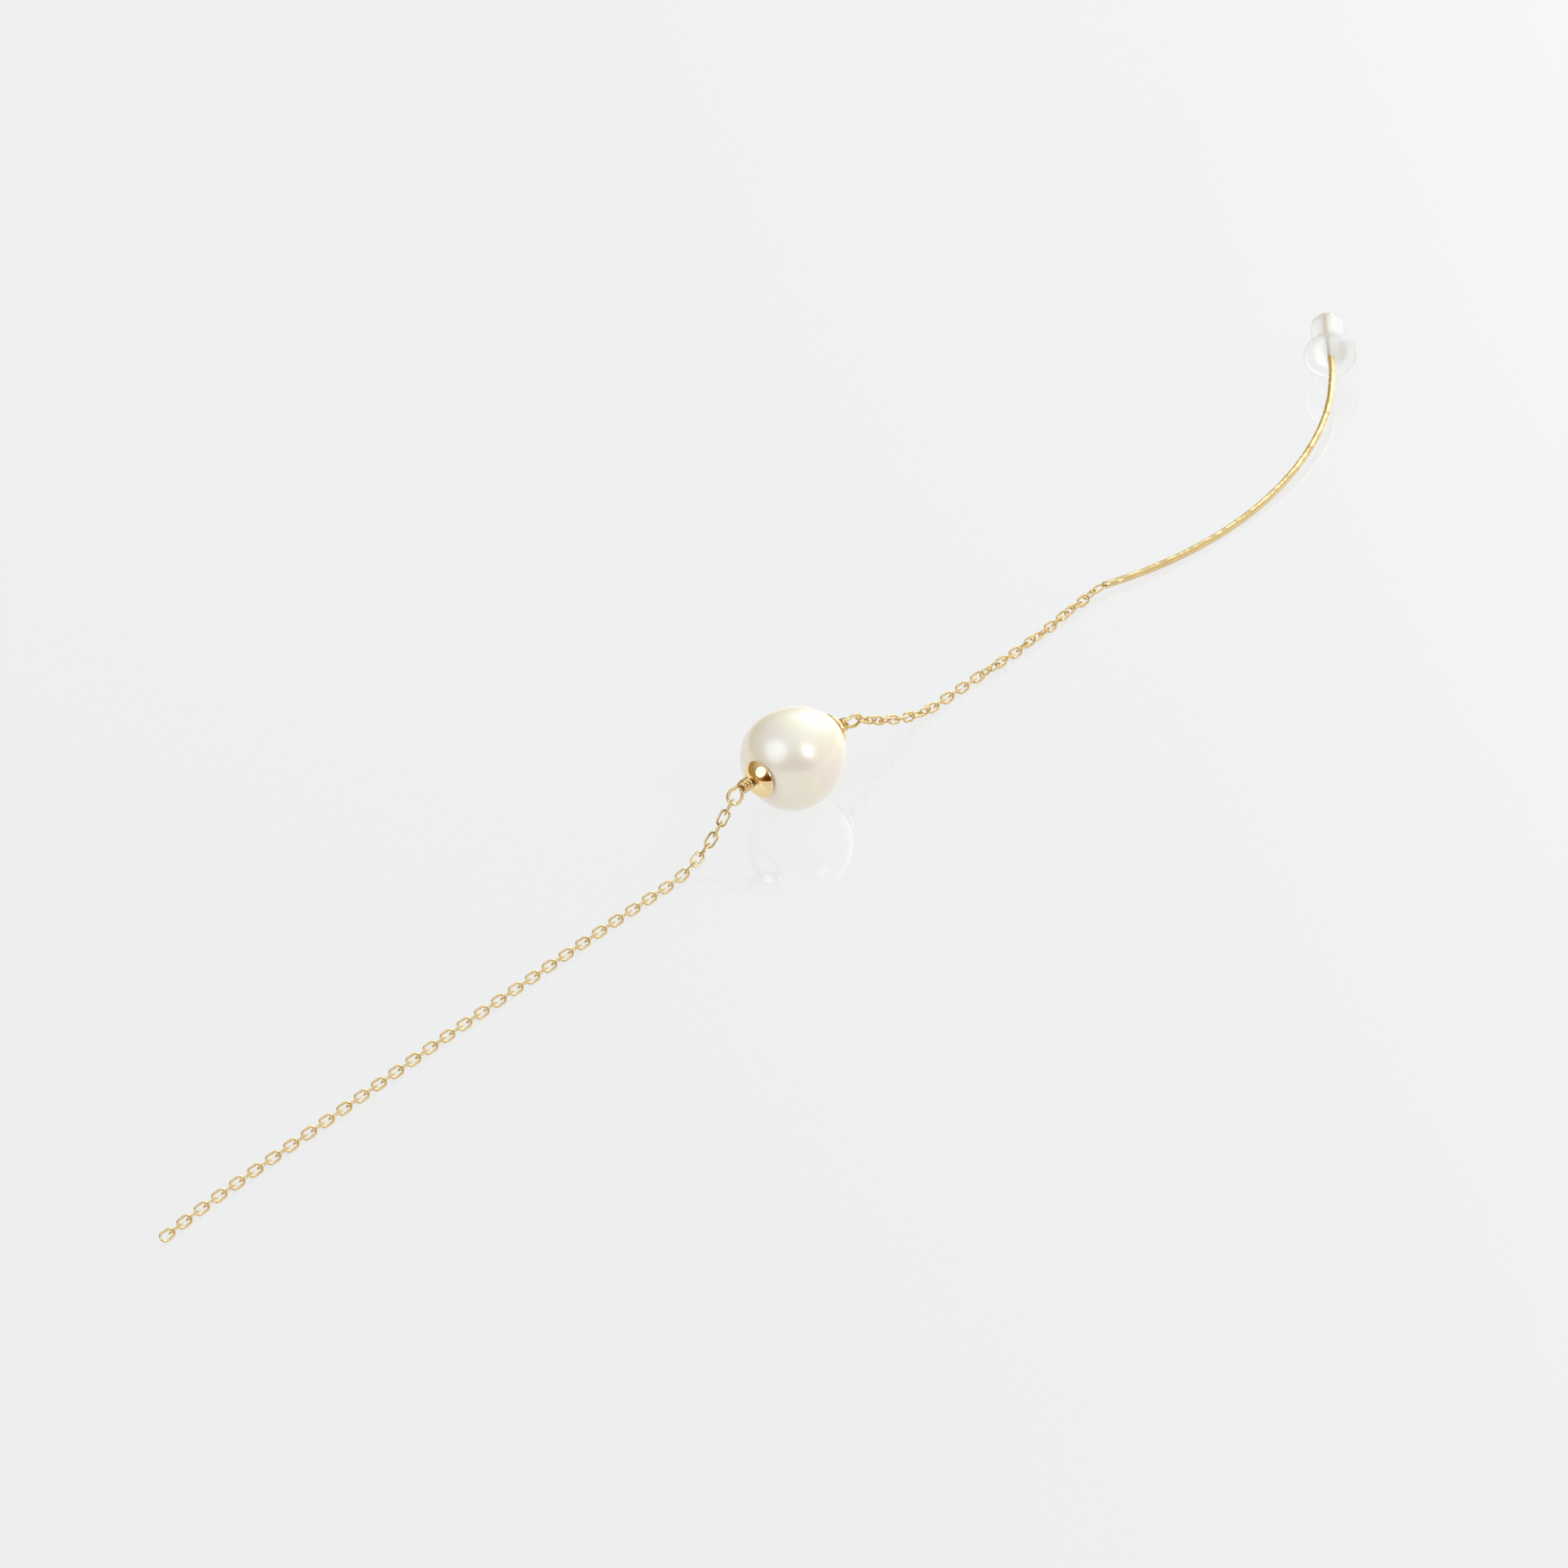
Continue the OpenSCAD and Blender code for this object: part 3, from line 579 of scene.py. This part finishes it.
class EARRING_OT_chains(bpy.types.Operator):
    """Add the short and the long cable chain"""

    bl_idname = "earring.chains"
    bl_label = "Chains"

    def execute(self, context):
        gold = context.scene.earring_gold
        # The chains' gold carries painted shade: it is darker than the caps' gold.
        metal = polished_gold("gold chain wire", gold.wire_shaded_colour, gold.wire_shaded_deep_colour, 0.07, 0.3, 0.012)
        for name, node in (("cable_chain_short", "chain_short"), ("cable_chain_long", "chain_long")):
            bm = bmesh.new()
            laid_links(bm, context.scene.earring_chain, link_places(node))
            finished(bm, name, metal, BODY, [node])
        return {"FINISHED"}


class EarWirePlane:
    """The plane in which the ear wire bends, worked out from its sizes and where its tip lies."""

    def __init__(self, ear, stopper):
        slide = Vector(frame["joints"][0]["axis"]).normalized()
        self.tip_len = ear.lead + stopper.length + ear.tip_out
        tip_bow_len = ear.tip_bow_r * ear.tip_bow_a
        bow_a = (ear.length - tip_bow_len - self.tip_len) / ear.bow_r
        self.touch_a = ear.touch_a
        self.bow_end_a = bow_a - ear.touch_a
        self.tip_a = self.bow_end_a + ear.tip_bow_a
        self.bow_end = self.arc(ear.bow_r, -ear.touch_a, self.bow_end_a)
        self.tip_start = self.bow_end + self.arc(ear.tip_bow_r, self.bow_end_a, self.tip_a)
        self.tip_way = polar(1, self.tip_a)
        tilt = math.asin(slide.z / math.sin(self.tip_a))
        turned = Matrix.Rotation(ear.lay_a, 4, "Z") @ Matrix.Rotation(tilt, 4, "X")
        ball = self.tip_start + (self.tip_len - ear.diameter / 2) * self.tip_way
        low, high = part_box("ear_wire")
        corner = turned @ Vector((*ball, 0))
        radius = ear.diameter / 2
        touch = self.arc(ear.bow_r, -ear.touch_a, 0)
        lift = radius - (turned @ Vector((*touch, 0))).z
        shift = (high.x - radius - corner.x, high.y - radius - corner.y, lift)
        self.place = Matrix.Translation(shift) @ turned

    @staticmethod
    def arc(radius, start, stop):
        """The step from one heading to another along a bend."""
        return radius * Vector((math.sin(stop) - math.sin(start), math.cos(start) - math.cos(stop)))


class EARRING_OT_ear_wire(bpy.types.Operator):
    """Add the bowed ear wire with the link that is soldered to it"""

    bl_idname = "earring.ear_wire"
    bl_label = "Ear Wire"

    def execute(self, context):
        ear, chain = context.scene.earring_ear_wire, context.scene.earring_chain
        plane = EarWirePlane(ear, context.scene.earring_stopper)
        radius, start_round = ear.diameter / 2, 0.12 * MM
        rows = []
        first_way = polar(1, -ear.touch_a)
        for a in (math.radians(d) for d in (80, 60, 40, 20)):
            point = first_way * start_round * (1 - math.sin(a))
            rows.append((point, radius - start_round * (1 - math.cos(a))))
        bow_steps, tip_bow_steps = 70, 40
        for k in range(1, bow_steps):
            a = -ear.touch_a + (plane.bow_end_a + ear.touch_a) * k / bow_steps
            rows.append((plane.arc(ear.bow_r, -ear.touch_a, a), radius))
        for k in range(tip_bow_steps + 1):
            a = plane.bow_end_a + ear.tip_bow_a * k / tip_bow_steps
            rows.append((plane.bow_end + plane.arc(ear.tip_bow_r, plane.bow_end_a, a), radius))
        for a in (math.radians(d) for d in (0, 20, 40, 55, 68, 80)):
            way = plane.tip_len - radius + radius * math.sin(a)
            rows.append((plane.tip_start + way * plane.tip_way, radius * math.cos(a)))
        path = [plane.place @ Vector((*p, 0)) for p, r in rows]
        bm = bmesh.new()
        sweep(bm, path, [r for p, r in rows], 24)
        gold = context.scene.earring_gold
        # The ear wire's gold carries painted shade: it is darker than the caps' gold.
        metal = polished_gold("drawn gold ear wire", gold.wire_shaded_colour, gold.wire_shaded_deep_colour, 0.08, 1.3, 0.2)
        solder = bmesh.new()
        link_shape(solder, chain)
        bmesh.ops.transform(solder, verts=solder.verts[:], matrix=self.soldered(chain, path[0]))
        joined = bpy.data.meshes.new("soldered_link")
        solder.to_mesh(joined)
        solder.free()
        bm.from_mesh(joined)
        bpy.data.meshes.remove(joined)
        finished(bm, "bowed_ear_wire", metal, BODY, ["ear_wire"])
        return {"FINISHED"}

    @staticmethod
    def soldered(chain, wire_start):
        """Where the link that ends in the ear wire lies, from the chain's last loose link."""
        last = link_places("chain_short")[-1]
        way = last.to_3x3() @ Vector((1, 0, 0))
        way = way if way.x > 0 else -way
        hooked = last.translation + way * (chain.link_len / 2 - chain.wire_d)
        x = (wire_start - hooked).normalized()
        level = Vector((0, 0, 1)).cross(x).normalized()
        middle = wire_start - x * (chain.link_len - chain.wire_d) / 2
        return Matrix.Translation(middle) @ Matrix((x, level, x.cross(level))).transposed().to_4x4()


def stopper_outline(stopper, hole_r):
    """Half section of the stopper: distance from its axis, distance from its flange face."""
    edge_r, barrel_r, neck_r = stopper.flange_t / 2, stopper.barrel_d / 2, stopper.neck_r
    edge_mid = stopper.flange_d / 2 - edge_r
    top = stopper.length - barrel_r
    outline = [(hole_r, 0)]
    for k in range(-12, 13):
        a = math.radians(7.5 * k)
        outline.append((edge_mid + edge_r * math.cos(a), edge_r + edge_r * math.sin(a)))
    for k in range(9):
        a = math.radians(270 - 11.25 * k)
        outline.append((barrel_r + neck_r * (1 + math.cos(a)), stopper.flange_t + neck_r * (1 + math.sin(a))))
    last = math.acos(hole_r / barrel_r)
    for k in range(21):
        a = last * k / 20
        outline.append((barrel_r * math.cos(a), top + barrel_r * math.sin(a)))
    return outline


class EARRING_OT_stopper(bpy.types.Operator):
    """Add the clear stopper on the tip of the ear wire"""

    bl_idname = "earring.stopper"
    bl_label = "Stopper"

    def execute(self, context):
        ear, stopper = context.scene.earring_ear_wire, context.scene.earring_stopper
        plane = EarWirePlane(ear, stopper)
        bm = bmesh.new()
        spun(bm, stopper_outline(stopper, ear.diameter / 2 + stopper.hole_gap), 64)
        start = plane.tip_start + ear.lead * plane.tip_way
        seat = Matrix.Translation((*start, 0)) @ Matrix.Rotation(plane.tip_a, 4, "Z") @ along_x()
        bmesh.ops.transform(bm, verts=bm.verts[:], matrix=plane.place @ seat)
        finished(bm, "clear_stopper", clear_silicone(), STOPPER_BODY, ["stopper"])
        return {"FINISHED"}


def soft_light(name, direction, distance, diameter, power, colour):
    """A round softbox at a direction from the pearl, facing it."""
    light = bpy.data.lights.new(name, "AREA")
    light.shape = "DISK"
    light.size = diameter
    light.energy = power
    light.color = colour
    box = bpy.data.objects.new(name, light)
    way = Vector(direction).normalized()
    box.location = way * distance
    box.rotation_euler = way.to_track_quat("Z", "Y").to_euler()
    bpy.context.scene.collection.objects.link(box)


class EARRING_OT_stage(bpy.types.Operator):
    """Add the floor, the room, the lights and the camera"""

    bl_idname = "earring.stage"
    bl_label = "Stage"

    def execute(self, context):
        stage = context.scene.earring_stage
        bm = bmesh.new()
        bmesh.ops.create_grid(bm, x_segments=1, y_segments=1, size=stage.floor_size / 2)
        mesh = bpy.data.meshes.new("floor")
        bm.to_mesh(mesh)
        bm.free()
        mesh.materials.append(white_acrylic())
        floor = bpy.data.objects.new("floor", mesh)
        context.scene.collection.objects.link(floor)
        self.room(context.scene)
        soft_light("softbox", (-0.763, 0.069, 0.653), 1.2, 1.15, 5.9, (0.6, 0.77, 1.0))
        soft_light("lamp", (0.05, -0.815, 0.59), 1.2, 0.45, 3.0, (0.8, 0.9, 1.0))
        self.camera(context.scene, stage)
        return {"FINISHED"}

    @staticmethod
    def room(scene):
        """Beige walls, a grey ceiling, a bright window at the right and a brown cupboard at the left."""
        world = bpy.data.worlds.new("room")
        scene.world = world
        world.use_nodes = True
        tree = world.node_tree
        tree.nodes.clear()
        way = add_node(tree, "ShaderNodeTexCoord").outputs["Generated"]
        colour = None
        # Each layer has a blend, the direction of its middle and its colours on the way to it, from
        # 0 on the far side of the room to 1.
        for blend, middle, stops in (
            ("MIX", (0, 0, 1), ((0.5, "#a89060"), (0.72, "#aa9a68"), (0.85, "#c0c0b8"), (0.95, "#c8caca"))),
            ("ADD", (0.9, -0.3, 0.3), ((0.6, "#000000"), (0.8, "#9fa4ac"), (0.92, "#b4bac4"))),
            ("ADD", (0.88, 0.13, 0.42), ((0.93, "#000000"), (0.965, "#7c7e84"), (0.985, "#f6faff"))),
            ("ADD", (0.88, 0.13, 0.42), ((0.95, "#000000"), (0.985, "#d4d8dc"))),
            ("MULTIPLY", (-0.7, -0.7, 0.08), ((0.84, "#ffffff"), (0.94, "#c8a078"), (0.98, "#966a4c"))),
        ):
            side = add_node(tree, "ShaderNodeVectorMath", {"operation": "DOT_PRODUCT"})
            tree.links.new(way, side.inputs[0])
            side.inputs[1].default_value = Vector(middle).normalized()
            share = add_node(tree, "ShaderNodeMapRange", {"From Min": -1.0, "From Max": 1.0},
                             {"Value": side.outputs["Value"]})
            ramp = add_node(tree, "ShaderNodeValToRGB", {}, {"Fac": share.outputs["Result"]})
            while len(ramp.color_ramp.elements) < len(stops):
                ramp.color_ramp.elements.new(0.5)
            for element, (spot, shade) in zip(ramp.color_ramp.elements, stops):
                element.position = spot
                element.color = linear(shade)
            if colour is None:
                colour = ramp.outputs["Color"]
                continue
            both = add_node(tree, "ShaderNodeMix", {"data_type": "RGBA", "blend_type": blend, "Factor": 1.0})
            tree.links.new(colour, both.inputs["A"])
            tree.links.new(ramp.outputs["Color"], both.inputs["B"])
            colour = both.outputs[2]
        light = add_node(tree, "ShaderNodeBackground", {"Strength": 1.0}, {"Color": colour})
        add_node(tree, "ShaderNodeOutputWorld", {}, {"Surface": light.outputs["Background"]})

    @staticmethod
    def camera(scene, stage):
        """A camera that looks at a point of the floor, as in the photo."""
        lens = bpy.data.cameras.new("camera")
        lens.lens = stage.focal
        lens.sensor_width = 36
        lens.clip_start, lens.clip_end = 0.01, 20
        eye = bpy.data.objects.new("camera", lens)
        flat = math.cos(stage.elevation)
        drop = -math.sin(stage.elevation)
        way = Vector((flat * math.cos(stage.heading), flat * math.sin(stage.heading), drop))
        level = way.cross(Vector((0, 0, 1))).normalized()
        rise = level.cross(way)
        right = math.cos(stage.roll) * level + math.sin(stage.roll) * rise
        up = math.cos(stage.roll) * rise - math.sin(stage.roll) * level
        turned = Matrix((right, up, -way)).transposed().to_4x4()
        target = Vector((stage.look_x, stage.look_y, 0))
        eye.matrix_world = Matrix.Translation(target - way * stage.distance) @ turned
        scene.collection.objects.link(eye)
        scene.camera = eye
        scene.view_settings.view_transform = "Standard"


class EARRING_PT_panel(bpy.types.Panel):
    """Buttons and sizes for each piece"""

    bl_idname = "EARRING_PT_panel"
    bl_label = "Threader Earring"
    bl_space_type = "VIEW_3D"
    bl_region_type = "UI"
    bl_category = "Earring"

    def draw(self, context):
        for operator in OPERATORS:
            self.layout.operator(operator.bl_idname)
        for name, group in GROUPS.items():
            box = self.layout.box()
            for key in group.__annotations__:
                box.prop(getattr(context.scene, name), key)


GROUPS = {
    "earring_pearl": PearlSettings,
    "earring_cap": CapSettings,
    "earring_pearl_wire": PearlWireSettings,
    "earring_chain": ChainSettings,
    "earring_ear_wire": EarWireSettings,
    "earring_stopper": StopperSettings,
    "earring_gold": GoldSettings,
    "earring_stage": StageSettings,
}
OPERATORS = (
    EARRING_OT_stage,
    EARRING_OT_pearl,
    EARRING_OT_bead_caps,
    EARRING_OT_pearl_wire,
    EARRING_OT_chains,
    EARRING_OT_ear_wire,
    EARRING_OT_stopper,
)


def register():
    for group in GROUPS.values():
        bpy.utils.register_class(group)
    for operator in OPERATORS:
        bpy.utils.register_class(operator)
    bpy.utils.register_class(EARRING_PT_panel)
    for name, group in GROUPS.items():
        setattr(bpy.types.Scene, name, PointerProperty(type=group))


def unregister():
    for name in GROUPS:
        delattr(bpy.types.Scene, name)
    bpy.utils.unregister_class(EARRING_PT_panel)
    for operator in reversed(OPERATORS):
        bpy.utils.unregister_class(operator)
    for group in reversed(GROUPS.values()):
        bpy.utils.unregister_class(group)


def main():
    register()
    for operator in OPERATORS:
        group, name = operator.bl_idname.split(".")
        getattr(getattr(bpy.ops, group), name)()


if __name__ == "__main__":
    main()
